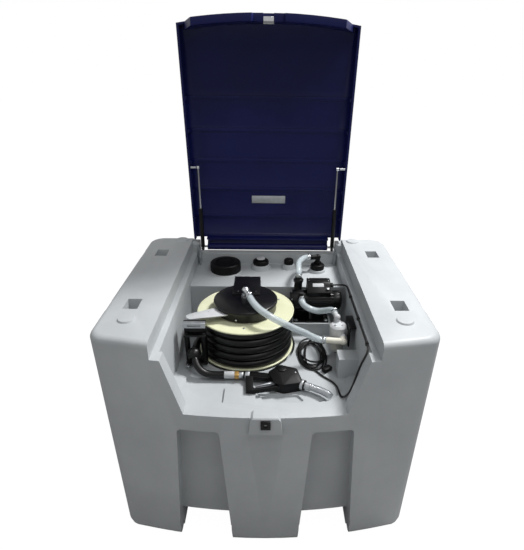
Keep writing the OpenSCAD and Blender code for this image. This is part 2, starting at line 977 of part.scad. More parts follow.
module cable_clips() {
    color("#1b1c1e")
        for (y = [-36, -206, -366])
            difference() {
                translate([inner_w / 2 - 9.5, y - 6, 845])
                    cube([9.5, 12, 11]);
                translate([327, y - 7, 851])
                    rotate([-90, 0, 0])
                        cylinder(r = cable_r + 0.3, h = 14);
            }
}

// Latch

module latch_striker() {
    color("#3a3f33") {
        y0 = bow_y(0) - boss_out;
        difference() {
            translate([-16, y0 - 6, 622])
                cube([32, 6, 34]);
            translate([0, y0 - 7, 639])
                rotate([-90, 0, 0])
                    cylinder(r = 6, h = 8);
        }
    }
}

// Lid, drawn closed and then turned open about its hinge

module lid_at_rest() {
    translate([0, hinge_y, hinge_z])
        rotate([-lid_open, 0, 0])
            translate([0, -hinge_y, -hinge_z])
                children();
}

lid_back_y = hinge_y - 41;
lid_top_z = rim_z + lid_h;

// side view of the lid's box, moved in by i
function lid_side(i) = concat(
    [[lid_back_y - i, rim_z - (i > 0 ? 20 : 0)], [lid_back_y - i, lid_top_z - 14 - i],
        [lid_back_y - 16 - i * 0.5, lid_top_z - 2 - i]],
    [for (k = [1:11]) let (t = k / 12) [lid_back_y - 16 + (front_y - 20 - lid_back_y + 16) * t,
        lid_top_z - i + lid_crown * sin(180 * t)]],
    [[front_y - 36 + i, lid_top_z - 6 - i], [front_y - 60 + i, lid_top_z - 26 - i * 0.5],
        [front_y - 62 + i, rim_z - (i > 0 ? 20 : 0)]]);

// front view, moved in by i
function lid_front(i) = [[-lid_hw + i, rim_z - (i > 0 ? 30 : 0)], [lid_hw - i, rim_z - (i > 0 ? 30 : 0)],
    [lid_hw - 3 - i, lid_top_z - 16 - i * 0.5], [lid_hw - 16 - i * 0.5, lid_top_z + 4 - i],
    [lid_hw - 60, lid_top_z + 30 - i], [-lid_hw + 60, lid_top_z + 30 - i],
    [-lid_hw + 16 + i * 0.5, lid_top_z + 4 - i], [-lid_hw + 3 + i, lid_top_z - 16 - i * 0.5]];

// plan view, moved in by i
module lid_plan(i) {
    polygon(concat(bow_line(-lid_hw + i, lid_hw - i, 14, 4 - i),
        [[lid_hw - i, lid_back_y - i], [-lid_hw + i, lid_back_y - i]]));
}

module lid_form(i) {
    intersection() {
        along_x(-lid_hw - 1, lid_hw + 1)
            polygon(lid_side(i));
        along_y(front_y - 100, back_y)
            polygon(lid_front(i));
        translate([0, 0, rim_z - 40])
            linear_extrude(200)
                lid_plan(i);
    }
}

// front flap that closes the notch, with lid_gap all round
module flap() {
    low = lip_z + lid_gap;
    slope = (notch_top_w - notch_low_w) / 2 / (ledge_z - lip_z);
    hw_low = notch_low_w / 2 - lid_gap + slope * lid_gap;
    hw_top = hw_low + slope * (lid_top_z - 20 - low);
    intersection() {
        along_y(front_y - 100, front_y + 40)
            polygon([[-hw_low, low], [hw_low, low], [hw_top, lid_top_z - 20], [-hw_top, lid_top_z - 20]]);
        linear_extrude(big)
            polygon(concat(bow_line(-lid_hw, lid_hw, 14, 2), bow_line(lid_hw, -lid_hw, 14, 2 - flap_t)));
    }
}

tongue_hw = 286;

module hinge_tongue() {
    difference() {
        along_x(-tongue_hw, tongue_hw) {
            polygon([[lid_back_y - 12, lid_top_z - 22], [lid_back_y - 12, lid_top_z - 6],
                [lid_back_y + 8, lid_top_z - 6], [hinge_y + 6, hinge_z + barrel_r + 8],
                [hinge_y + barrel_r, hinge_z], [hinge_y - 8, hinge_z]]);
            translate([hinge_y, hinge_z])
                circle(r = barrel_r);
        }
        mirrored()
            translate([tongue_hw - 40, hinge_y, hinge_z])
                rotate([0, 90, 0])
                    cylinder(r = pin_r + bore_gap, h = 41);
    }
}

latch_hw = 18;
pocket_z = 680;
rib_y = -221;
rib_pitch = 126;
rib_w = 14;

module lid_shell() {
    color("#1c2350")
        lid_at_rest()
            difference() {
                union() {
                    difference() {
                        lid_form(0);
                        lid_form(lid_wall);
                    }
                    // shallow cross ribs inside the panel
                    intersection() {
                        difference() {
                            lid_form(lid_wall - 1);
                            lid_form(lid_wall + 5);
                        }
                        for (k = [0:4])
                            translate([-lid_hw, rib_y - rib_w / 2 + rib_pitch * k, rim_z + 10])
                                cube([2 * lid_hw, rib_w, 90]);
                    }
                    flap();
                    hinge_tongue();
                }
                // pocket in the flap, and above it the seat of the latch
                along_y(front_y - 80, front_wall_y)
                    polygon([[-60, lip_z], [60, lip_z], [50, pocket_z], [latch_hw + 0.3, pocket_z],
                        [latch_hw + 0.3, pocket_z + 24], [-latch_hw - 0.3, pocket_z + 24],
                        [-latch_hw - 0.3, pocket_z], [-50, pocket_z]]);
                // notches in the back wall for the gas struts
                mirrored()
                    translate([286, lid_back_y - 30, rim_z - 1])
                        cube([lid_hw - lid_wall - 286, 60, 39]);
            }
}

module lid_plaque() {
    color("#a9adb0")
        lid_at_rest()
            translate([3, hinge_y - 218, lid_top_z + 1.54])
                rotate([-3.4, 0, 0])
                    cube([154, 34, 3], center = true);
}

module lid_latch() {
    color("#c7cacd")
        lid_at_rest() {
            translate([-latch_hw, bow_y(0) + 8, pocket_z + 1])
                cube([2 * latch_hw, 22, 20]);
        }
}

// Gas struts: a ball on the body, a cylinder that swings on it, a rod in the cylinder

strut_x = 303;
strut_low = [385, 880];
strut_high = [400, 1248];
strut_len = norm(strut_high - strut_low);
strut_tilt = atan2(strut_high[0] - strut_low[0], strut_high[1] - strut_low[1]);
strut_body_l = 190;
strut_body_r = 9;
strut_rod_r = 4;

module strut_frame() {
    translate([strut_x, strut_low[0], strut_low[1]])
        rotate([-strut_tilt, 0, 0])
            children();
}

module strut_cylinder() {
    color("#17181a")
        strut_frame() {
            difference() {
                union() {
                    translate([0, 0, 12])
                        cylinder(r = strut_body_r, h = strut_body_l - 12);
                    rod([-5, 0, 0], [5, 0, 0], 9);
                    translate([-4, -5, 0])
                        cube([8, 10, 14]);
                }
                rod([-8, 0, 0], [8, 0, 0], 4.08);
                translate([0, 0, 60])
                    cylinder(r = strut_rod_r + bore_gap, h = strut_body_l);
            }
        }
}

module strut_rod() {
    color("#cfd2d6")
        strut_frame() {
            difference() {
                union() {
                    translate([0, 0, 110])
                        cylinder(r = strut_rod_r, h = strut_len - 110);
                    translate([0, 0, strut_len])
                        rod([-5, 0, 0], [5, 0, 0], 9);
                }
                translate([0, 0, strut_len])
                    rod([-8, 0, 0], [8, 0, 0], 4.5);
            }
        }
}

module strut_anchors() {
    color("#55585c")
        mirrored() {
            rod([strut_x - 7, strut_low[0], strut_low[1]],
                [gap_w / 2 - post_w - 0.3, strut_low[0], strut_low[1]], 4);
            translate([gap_w / 2 - post_w - 8, strut_low[0] - 14, shelf_z])
                cube([7.7, 28, strut_low[1] - shelf_z + 9]);
        }
}

module lid_studs() {
    color("#55585c")
        mirrored()
            rod([strut_x + 10, strut_high[0], strut_high[1]], [lid_hw - lid_wall - 2, strut_high[0],
                strut_high[1]], 6);
}

tank_body();
hinge_pins();
filler_cap();
vent_cap();
gauge_cap();
suction_cap();
suction_elbow();
suction_hose();
pump_base();
pump_head();
pump_motor();
pump_terminal_box();
transfer_hose();
filter_head();
filter_bowl();
filter_bracket();
feed_elbow();
feed_hose();
reel_stand();
reel_housing();
reel_bracket();
reel_swivel();
reel_drum();
wound_hose();
guide_arm();
guide_frame();
guide_rollers();
hose_stopper();
delivery_hose();
hose_ferrule();
nozzle_body();
nozzle_trigger();
nozzle_spout();
cable_clips();
power_cable();
cable_coil();
cable_connector();
latch_striker();
strut_anchors();
lid_shell();
lid_plaque();
lid_latch();
lid_studs();
mirror([1, 0, 0]) strut_cylinder();  // strut_cylinder_left
mirror([1, 0, 0]) strut_rod();  // strut_rod_left
strut_cylinder();  // strut_cylinder_right
strut_rod();  // strut_rod_right
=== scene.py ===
"""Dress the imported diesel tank: camera, cords, moulded shells, hoses, small fittings and finishes."""
import json
import math

import bpy
from mathutils import Matrix, Vector


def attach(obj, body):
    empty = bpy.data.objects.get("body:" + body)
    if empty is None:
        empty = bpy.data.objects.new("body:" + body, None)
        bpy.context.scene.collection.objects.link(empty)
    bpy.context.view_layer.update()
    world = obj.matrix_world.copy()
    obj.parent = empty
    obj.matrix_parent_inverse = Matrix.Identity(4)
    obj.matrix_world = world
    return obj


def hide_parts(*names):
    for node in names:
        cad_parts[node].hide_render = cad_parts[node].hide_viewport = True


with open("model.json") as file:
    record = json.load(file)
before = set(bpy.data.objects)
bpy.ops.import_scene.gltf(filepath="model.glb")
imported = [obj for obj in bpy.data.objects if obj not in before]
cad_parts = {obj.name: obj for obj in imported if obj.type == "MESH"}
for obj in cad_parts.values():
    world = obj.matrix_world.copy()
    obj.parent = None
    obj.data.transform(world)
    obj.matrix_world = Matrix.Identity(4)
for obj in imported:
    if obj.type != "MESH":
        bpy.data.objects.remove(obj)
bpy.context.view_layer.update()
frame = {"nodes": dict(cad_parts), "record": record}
nodes = frame["nodes"]
scene = bpy.context.scene
MM = 0.001


# Camera, at the photograph's place

EYE = Vector((0.00674, -1.5437, 1.63887))
YAW = math.radians(1.014)
PITCH = math.radians(28.6561)
ROLL = math.radians(0.9024)


def add_camera():
    ahead = Vector((math.sin(YAW) * math.cos(PITCH), math.cos(YAW) * math.cos(PITCH), -math.sin(PITCH)))
    level = Vector((math.cos(YAW), -math.sin(YAW), 0))
    down = ahead.cross(level)
    right = level * math.cos(ROLL) - down * math.sin(ROLL)
    below = level * math.sin(ROLL) + down * math.cos(ROLL)
    data = bpy.data.cameras.new("camera")
    data.sensor_fit = "HORIZONTAL"
    data.sensor_width = 36
    data.lens = 29.916
    data.shift_x = -0.0255
    data.shift_y = 0.0552
    data.clip_start = 0.05
    camera = bpy.data.objects.new("camera", data)
    scene.collection.objects.link(camera)
    turn = Matrix((right, -below, -ahead)).transposed()
    camera.matrix_world = Matrix.Translation(EYE) @ turn.to_4x4()
    scene.camera = camera


add_camera()
scene.view_settings.view_transform = "Standard"


# Materials

def paint(code):
    """An sRGB hex colour as the linear values that Blender's sockets take."""
    parts = [int(code[i:i + 2], 16) / 255 for i in (1, 3, 5)]
    return tuple(p / 12.92 if p <= 0.04045 else ((p + 0.055) / 1.055) ** 2.4 for p in parts) + (1,)


def add(tree, kind, links=None, **settings):
    """A node with its settings, and its inputs linked or set."""
    made = tree.nodes.new("ShaderNode" + kind)
    for name, value in settings.items():
        setattr(made, name, value)
    for name, value in (links or {}).items():
        if isinstance(value, bpy.types.NodeSocket):
            tree.links.new(value, made.inputs[name])
        else:
            made.inputs[name].default_value = value
    return made


def blank(name):
    """A new material, its node tree, its shader and its object coordinates."""
    made = bpy.data.materials.new(name)
    made.use_nodes = True
    tree = made.node_tree
    tree.nodes.clear()
    shader = add(tree, "BsdfPrincipled")
    out = add(tree, "OutputMaterial", {"Surface": shader.outputs[0]})
    place = add(tree, "TexCoord").outputs["Object"]
    return made, tree, shader, place, out


def finish_of(name, low, high, rough, patch=0.08, grain=0.0015, relief=0.0002, metal=0.0, rough_swing=0.06,
              **sockets):
    """A surface whose colour drifts between two near tones, with a fine grain in its relief.

    patch is the size of the colour drift and grain the size of the relief's grain, in metres."""
    made, tree, shader, place, _ = blank(name)
    drift = add(tree, "TexNoise", {"Vector": place, "Scale": 1 / patch, "Detail": 4.0, "Roughness": 0.6})
    ramp = add(tree, "ValToRGB", {"Fac": drift.outputs["Fac"]})
    ramp.color_ramp.elements[0].position = 0.3
    ramp.color_ramp.elements[0].color = paint(low)
    ramp.color_ramp.elements[1].position = 0.7
    ramp.color_ramp.elements[1].color = paint(high)
    tree.links.new(ramp.outputs["Color"], shader.inputs["Base Color"])
    fine = add(tree, "TexNoise", {"Vector": place, "Scale": 1 / grain, "Detail": 2.0})
    bump = add(tree, "Bump", {"Height": fine.outputs["Fac"], "Strength": 0.5, "Distance": relief})
    tree.links.new(bump.outputs["Normal"], shader.inputs["Normal"])
    swing = add(tree, "MapRange", {"Value": drift.outputs["Fac"], "To Min": rough - rough_swing,
                                   "To Max": rough + rough_swing})
    tree.links.new(swing.outputs["Result"], shader.inputs["Roughness"])
    shader.inputs["Metallic"].default_value = metal
    for socket, value in sockets.items():
        shader.inputs[socket.replace("_", " ")].default_value = value
    return made


# rotomoulded polyethylene: dull, slightly waxy, with the orange peel of the mould
TANK_PE = finish_of("rotomoulded_grey_polyethylene", "#AFB3B6", "#BABEC0", 0.46, patch=0.22, grain=0.004,
                    relief=0.0005, Specular_IOR_Level=0.4)
LID_PE = finish_of("rotomoulded_navy_polyethylene", "#0E1448", "#121852", 0.42, patch=0.2, grain=0.004,
                   relief=0.0004, Specular_IOR_Level=0.28)
# injection-moulded polypropylene with a fine spark-eroded texture
BLACK_PP = finish_of("moulded_black_polypropylene", "#060607", "#0B0B0D", 0.45, grain=0.0012, relief=0.00015,
                     Specular_IOR_Level=0.2)
# nitrile rubber hose cover: black with a soft sheen
HOSE_RUBBER = finish_of("nitrile_hose_cover", "#060606", "#0B0B0B", 0.36, patch=0.03, grain=0.002,
                        relief=0.0002, Specular_IOR_Level=0.35)
CABLE_PVC = finish_of("pvc_cable_sheath", "#060607", "#0A0A0B", 0.4, patch=0.02, grain=0.001, relief=0.0001)
# powder coat over pressed steel: fine pebbled gloss
BLACK_COAT = finish_of("black_powder_coat", "#070709", "#0C0C0E", 0.3, patch=0.05, grain=0.0016, relief=0.0002,
                       Specular_IOR_Level=0.35)
CREAM_COAT = finish_of("cream_enamel_on_steel", "#D6D8B4", "#E4E5C6", 0.32, patch=0.12, grain=0.003,
                       relief=0.0001)
PALE_COAT = finish_of("pale_grey_powder_coat", "#B6B8BA", "#C2C4C6", 0.5, patch=0.05, grain=0.0016, relief=0.0001)
ZINC = finish_of("zinc_plated_steel", "#C2C5C8", "#D3D6D9", 0.28, patch=0.02, grain=0.001, relief=0.0001, metal=1.0)
CHROME = finish_of("chromed_steel", "#DADCDF", "#E6E8EA", 0.12, patch=0.03, metal=1.0, relief=0.00003,
                   rough_swing=0.03)
BRASS = finish_of("turned_brass", "#A5824A", "#B8945A", 0.3, patch=0.01, metal=1.0)
CAST_ALU = finish_of("bead_blasted_cast_aluminium", "#B4B7BA", "#C6C9CC", 0.42, patch=0.02, grain=0.0012,
                     relief=0.0003, metal=1.0)
NYLON = finish_of("ivory_moulded_nylon", "#D9D6C8", "#E6E3D6", 0.35, patch=0.03, grain=0.002, relief=0.0001)


def clear_plastic(name, tone, alpha, rough):
    """Soft clear PVC: milky, glossy and partly see-through."""
    made, tree, shader, place, _ = blank(name)
    drift = add(tree, "TexNoise", {"Vector": place, "Scale": 60.0, "Detail": 2.0})
    bump = add(tree, "Bump", {"Height": drift.outputs["Fac"], "Strength": 0.3, "Distance": 0.0006})
    tree.links.new(bump.outputs["Normal"], shader.inputs["Normal"])
    shader.inputs["Base Color"].default_value = paint(tone)
    shader.inputs["Roughness"].default_value = rough
    shader.inputs["Alpha"].default_value = alpha
    shader.inputs["IOR"].default_value = 1.5
    return made


CLEAR_PVC = clear_plastic("clear_flexible_pvc", "#D8E2E6", 0.42, 0.14)
BOWL = clear_plastic("clear_filter_bowl", "#E4E8E6", 0.42, 0.12)

FINISHES = {
    "tank_body": TANK_PE, "hinge_pins": ZINC, "filler_cap": BLACK_PP, "vent_cap": BLACK_PP,
    "gauge_cap": BLACK_PP, "suction_cap": BLACK_PP, "suction_elbow": BLACK_PP, "suction_hose": CLEAR_PVC,
    "pump_base": BLACK_COAT, "pump_head": BLACK_COAT, "pump_motor": BLACK_COAT, "pump_terminal_box": BLACK_PP,
    "transfer_hose": CLEAR_PVC, "filter_head": PALE_COAT, "filter_bowl": BOWL, "filter_bracket": BLACK_COAT,
    "feed_elbow": NYLON, "feed_hose": CLEAR_PVC, "reel_stand": BLACK_COAT, "reel_housing": BLACK_COAT,
    "reel_bracket": BLACK_COAT, "reel_swivel": ZINC, "reel_drum": CREAM_COAT, "wound_hose": HOSE_RUBBER,
    "guide_arm": PALE_COAT, "guide_frame": BLACK_COAT, "guide_rollers": CAST_ALU, "hose_stopper": HOSE_RUBBER,
    "delivery_hose": HOSE_RUBBER, "hose_ferrule": BRASS, "nozzle_body": BLACK_PP, "nozzle_trigger": CAST_ALU,
    "nozzle_spout": CAST_ALU, "cable_clips": BLACK_PP, "power_cable": CABLE_PVC, "cable_coil": CABLE_PVC,
    "cable_connector": BLACK_PP, "latch_striker": BLACK_COAT, "strut_anchors": ZINC, "lid_shell": LID_PE,
    "lid_plaque": CAST_ALU, "lid_latch": CHROME, "lid_studs": ZINC, "strut_cylinder_left": BLACK_COAT,
    "strut_rod_left": CHROME, "strut_cylinder_right": BLACK_COAT, "strut_rod_right": CHROME,
}

for name, finish in FINISHES.items():
    nodes[name].data.materials.clear()
    nodes[name].data.materials.append(finish)


# Making and placing pieces

def alone(obj):
    """Deselect everything, then select and activate one object."""
    bpy.ops.object.select_all(action="DESELECT")
    obj.select_set(True)
    bpy.context.view_layer.objects.active = obj


def smooth(obj, angle=35):
    alone(obj)
    bpy.ops.object.shade_smooth_by_angle(angle=math.radians(angle))


def settle(obj, name, finish, body, angle=35):
    """Apply an object's place, then name it, finish it and ride it on its body."""
    alone(obj)
    bpy.ops.object.transform_apply(location=True, rotation=True, scale=True)
    obj.name = name
    obj.data.materials.clear()
    obj.data.materials.append(finish)
    smooth(obj, angle)
    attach(obj, body)
    return obj


def modify(obj, kind, **settings):
    """Add a modifier with its settings and apply it."""
    alone(obj)
    made = obj.modifiers.new(kind.lower(), kind)
    for name, value in settings.items():
        setattr(made, name, value)
    bpy.ops.object.modifier_apply(modifier=made.name)


def bevelled_copy(node, name, width, segments=3, angle=40, flat=1.0):
    """A copy of a CAD node with merged faces and rounded edges, standing for the node."""
    obj = bpy.data.objects.new(name, nodes[node].data.copy())
    scene.collection.objects.link(obj)
    alone(obj)
    bpy.ops.object.mode_set(mode="EDIT")
    bpy.ops.mesh.select_all(action="SELECT")
    bpy.ops.mesh.remove_doubles(threshold=0.00002)
    bpy.ops.mesh.dissolve_limited(angle_limit=math.radians(flat))
    bpy.ops.object.mode_set(mode="OBJECT")
    modify(obj, "BEVEL", width=width, segments=segments, limit_method="ANGLE",
           angle_limit=math.radians(angle), use_clamp_overlap=True, harden_normals=False)
    smooth(obj, 32)
    obj.data.materials.clear()
    obj.data.materials.append(FINISHES[node])
    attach(obj, body_of_node(node))
    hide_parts(node)
    return obj


def body_of_node(node):
    for body, members in frame["record"]["behaviour"]["bodies"].items():
        if node in members:
            return body
    return None


# Hoses and cords

def soft_line(points, steps):
    """Points on the smooth curve through given points, as the construction draws it."""
    line = []
    for i in range(len(points) - 1):
        a, b = points[max(i - 1, 0)], points[i]
        c, d = points[i + 1], points[min(i + 2, len(points) - 1)]
        for j in range(steps):
            t = j / steps
            line.append(0.5 * (2 * b + (c - a) * t + (2 * a - 5 * b + 4 * c - d) * t * t
                               + (3 * b - a - 3 * c + d) * t ** 3))
    return line + [points[-1]]


def metres(route):
    return [Vector(p) * MM for p in route]


def run_of(line):
    return sum((b - a).length for a, b in zip(line, line[1:]))


def hose(name, line, radius, finish, ring=12):
    """A round tube along a line, as a curve of one open spline."""
    data = bpy.data.curves.new(name, "CURVE")
    data.dimensions = "3D"
    spline = data.splines.new("POLY")
    spline.points.add(len(line) - 1)
    for point, place in zip(spline.points, line):
        point.co = (*place, 1)
    spline.use_smooth = True
    data.bevel_depth = radius
    data.bevel_resolution = ring
    data.use_fill_caps = True
    data.materials.append(finish)
    obj = bpy.data.objects.new(name, data)
    scene.collection.objects.link(obj)
    return obj


HOSE_ROUTE = [(-255, -150, 722), (-259, -172, 722), (-261, -196, 721), (-263, -226, 717), (-258, -254, 704),
              (-247, -274, 688), (-231, -285, 674), (-209, -289, 665), (-184, -290, 662), (-150.5, -290, 662)]
CABLE_ROUTE = [(276.4, 92, 838), (290, 92, 838), (308, 86, 841), (321, 68, 848), (327, 44, 851), (327, 0, 851),
               (327, -60, 851), (327, -120, 851), (327, -180, 851), (327, -240, 851), (327, -300, 851),
               (327, -376, 851), (325, -396, 849), (318, -411, 838), (306, -416, 810), (296, -416.5, 770),
               (288, -416.5, 730), (278, -416, 692), (266, -410, 666), (256, -398, 656.5), (252, -376, 655),
               (252, -350, 649), (250, -330, 645), (240, -308, 644.2), (222, -288, 644.2), (203, -268, 644.6)]
COIL_CENTRE = Vector((0.180, -0.132, 0.6442))
CABLE_RADIUS = 0.0035


# Each turn of the stowed cable: middle and half sizes in millimetres, and its lean in degrees
COIL_TURNS = ((0, -6, 57, 98, 0), (-6, -14, 42, 88, 12), (6, 4, 50, 84, -10), (-14, -22, 40, 76, 6),
              (10, -8, 34, 90, -15), (-2, 10, 52, 80, 8), (0, 4, 50, 84, 0))
COIL_TAIL = [(231, -158, 656), (230, -184, 654), (226, -206, 651), (220, -224.5, 649.5)]


def coil_line():
    """Loose oval turns of uneven size and lean, each drifting into the next one, and the plug's tail."""
    steps = 24
    spots = []
    count = steps * (len(COIL_TURNS) - 1) - steps // 4 - 1
    for k in range(count):
        turn = k // steps
        share = k % steps / steps
        ease = share * share * (3 - 2 * share)
        x, y, wide, long, lean = [a + (b - a) * ease for a, b in zip(COIL_TURNS[turn], COIL_TURNS[turn + 1])]
        angle = -math.radians(90) - 2 * math.pi * share
        out, along = wide * math.cos(angle), long * math.sin(angle)
        c, s = math.cos(math.radians(lean)), math.sin(math.radians(lean))
        rise = 13.2 * k / count
        spots.append(COIL_CENTRE + Vector((x + out * c - along * s, y + out * s + along * c, rise)) * MM)
    return spots + metres(COIL_TAIL)


def lay_cords():
    ferrule = bevelled_copy("hose_ferrule", "hose_ferrule_shaped", 0.0006, segments=2)
    plug = bevelled_copy("cable_connector", "cable_connector_shaped", 0.002, segments=2)
    line = soft_line(metres(HOSE_ROUTE), 4)
    piece = hose("delivery_hose_rubber", line, 0.013, HOSE_RUBBER)
    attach(piece, "tank")
    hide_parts("delivery_hose")
    line = soft_line(metres(CABLE_ROUTE) + coil_line(), 2)
    piece = hose("power_cable_sheath", line, CABLE_RADIUS, CABLE_PVC, ring=5)
    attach(piece, "tank")
    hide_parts("power_cable", "cable_coil")


lay_cords()

SUCTION_ROUTE = [(195.6, 311, 870), (180, 308, 872), (165, 289, 876), (151, 258, 880), (140, 222, 884),
                 (135, 185, 888), (133, 152, 890), (132, 129, 888), (131.5, 114, 878), (131.5, 112, 866.5)]
TRANSFER_ROUTE = [(143, 37.5, 796), (143, 27, 796), (143.8, 18, 794.4), (149, 9, 789), (160, 3, 781),
                  (178, -1, 773), (206, -9, 769), (232, -27, 781), (249, -47, 795), (258.5, -62, 801),
                  (261.8, -74, 802), (263.9, -86.8, 802)]
FEED_ROUTE = [(221.6, -180.9, 741), (206, -178.7, 740.8), (190, -178, 745), (165, -181, 759),
              (139, -188, 778), (104, -199, 801), (71, -206, 823), (44, -209, 839), (18, -206, 853),
              (-6, -192, 862), (-28, -168, 867), (-46, -138, 870.5), (-58, -111.9, 873.7),
              (-67.8, -87.5, 877.9)]


def clear_hoses():
    """Clear hoses with a wall, so that light passes a bore."""
    for name, route in (("suction_hose", SUCTION_ROUTE), ("transfer_hose", TRANSFER_ROUTE),
                        ("feed_hose", FEED_ROUTE)):
        line = soft_line(metres(route), 4)
        obj = hose(name + "_tube", line, 0.013, CLEAR_PVC)
        obj.data.use_fill_caps = False
        alone(obj)
        bpy.ops.object.convert(target="MESH")
        obj = bpy.context.view_layer.objects.active
        modify(obj, "SOLIDIFY", thickness=0.003, offset=-1)
        smooth(obj, 50)
        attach(obj, "tank")
        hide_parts(name)


clear_hoses()

# Moulded, cast and pressed pieces that keep their solid's form, with their edges rounded

bevelled_copy("tank_body", "tank_moulding", 0.007, segments=4)
bevelled_copy("lid_shell", "lid_moulding", 0.004, segments=3)
for name, width in (("reel_housing", 0.0012), ("reel_bracket", 0.001), ("reel_drum", 0.0008),
                    ("guide_frame", 0.0008), ("guide_arm", 0.0008), ("guide_rollers", 0.001),
                    ("pump_base", 0.001), ("pump_terminal_box", 0.002), ("pump_motor", 0.0006),
                    ("pump_head", 0.0012), ("filter_head", 0.0015), ("filter_bracket", 0.0008),
                    ("nozzle_body", 0.0018), ("nozzle_trigger", 0.0012), ("filler_cap", 0.001),
                    ("vent_cap", 0.0008), ("gauge_cap", 0.0008), ("suction_cap", 0.0008),
                    ("latch_striker", 0.0008), ("lid_plaque", 0.0008), ("lid_latch", 0.001),
                    ("reel_swivel", 0.0008)):
    bevelled_copy(name, name + "_shaped", width, segments=2)


def turned(name, steps, place, toward, finish, body, sides=32, edge=0.0004):
    """A turned form: a disc extruded and resized step by step.

    Each step is (distance along the axis, radius) in millimetres, and so is the place."""
    bpy.ops.object.select_all(action="DESELECT")
    bpy.ops.mesh.primitive_circle_add(vertices=sides, radius=steps[0][1] * MM, fill_type="NGON")
    obj = bpy.context.active_object
    bpy.ops.object.mode_set(mode="EDIT")
    bpy.ops.mesh.select_all(action="SELECT")
    bpy.ops.transform.translate(value=(0, 0, steps[0][0] * MM))
    for before, after in zip(steps, steps[1:]):
        bpy.ops.mesh.extrude_region_move(TRANSFORM_OT_translate={"value": (0, 0, (after[0] - before[0]) * MM)})
        share = after[1] / before[1]
        bpy.ops.transform.resize(value=(share, share, 1), center_override=(0, 0, 0))
    bpy.ops.mesh.select_all(action="SELECT")
    bpy.ops.mesh.normals_make_consistent(inside=False)
    bpy.ops.object.mode_set(mode="OBJECT")
    modify(obj, "BEVEL", width=edge, segments=2, limit_method="ANGLE", angle_limit=math.radians(30),
           use_clamp_overlap=True)
    obj.rotation_euler = Vector(toward).to_track_quat("Z", "Y").to_euler()
    obj.location = Vector(place) * MM
    return settle(obj, name, finish, body)


def block(name, low, high, finish, body, edge=0.001, lean=0.0):
    """A box between two corners in millimetres with rounded edges, leant back about its middle if asked."""
    bpy.ops.object.select_all(action="DESELECT")
    bpy.ops.mesh.primitive_cube_add(size=1)
    obj = bpy.context.active_object
    low, high = Vector(low) * MM, Vector(high) * MM
    obj.scale = high - low
    bpy.ops.object.transform_apply(location=False, rotation=False, scale=True)
    modify(obj, "BEVEL", width=edge, segments=3, limit_method="ANGLE", angle_limit=math.radians(40),
           use_clamp_overlap=True)
    obj.location = (low + high) / 2
    obj.rotation_euler = (math.radians(lean), 0, 0)
    return settle(obj, name, finish, body)


def bolt(name, place, toward, size, finish, body, washer=True):
    """A hexagon head on its washer; size is the radius over the corners in millimetres."""
    height = size * 0.62
    head = turned(name + "_head", [(0.3, size), (height, size), (height + size * 0.12, size * 0.82)], place, toward,
                  finish, body, sides=6)
    if washer:
        turned(name + "_washer", [(0, size * 1.35), (0.9, size * 1.35)], place, toward, finish, body,
               sides=28, edge=0.0002)
    return head


def coil_spring(name, points, radius, wire, pitch, finish, body):
    """A wire wound round a line, as on the spout of a nozzle."""
    steps = 14
    turns = run_of(points) / pitch
    count = int(turns * steps)
    line = []
    for i in range(count + 1):
        share = i / count * (len(points) - 1)
        k = min(int(share), len(points) - 2)
        spot = points[k].lerp(points[k + 1], share - k)
        ahead = (points[k + 1] - points[k]).normalized()
        side = ahead.cross(Vector((0, 0, 1))).normalized()
        rise = side.cross(ahead)
        angle = 2 * math.pi * i / steps
        line.append(spot + (side * math.cos(angle) + rise * math.sin(angle)) * radius)
    obj = hose(name, line, wire, finish, ring=3)
    alone(obj)
    bpy.ops.object.convert(target="MESH")
    obj = bpy.context.view_layer.objects.active
    smooth(obj, 60)
    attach(obj, body)
    return obj


def clamp(name, place, toward, radius, body, up=(0, 0, 1)):
    """A worm-drive hose clamp: a steel band with its screw housing."""
    along = Vector(toward).normalized()
    place = Vector(place)
    turned(name + "_band", [(-4.5, radius), (-4.5, radius + 0.9), (4.5, radius + 0.9), (4.5, radius)], place, along,
           ZINC, body, sides=40, edge=0.0001)
    side = along.cross(Vector(up)).normalized()
    lift = side.cross(along).normalized()
    turned(name + "_screw", [(-7, 3.4), (6, 3.4), (6, 2.2), (8.5, 2.2)], place + lift * (radius + 3), side, ZINC, body,
           sides=16, edge=0.0003)


# Reel, housing, bracket and swivel

REEL = (-82, -53)
HOUSING_TOP = 848


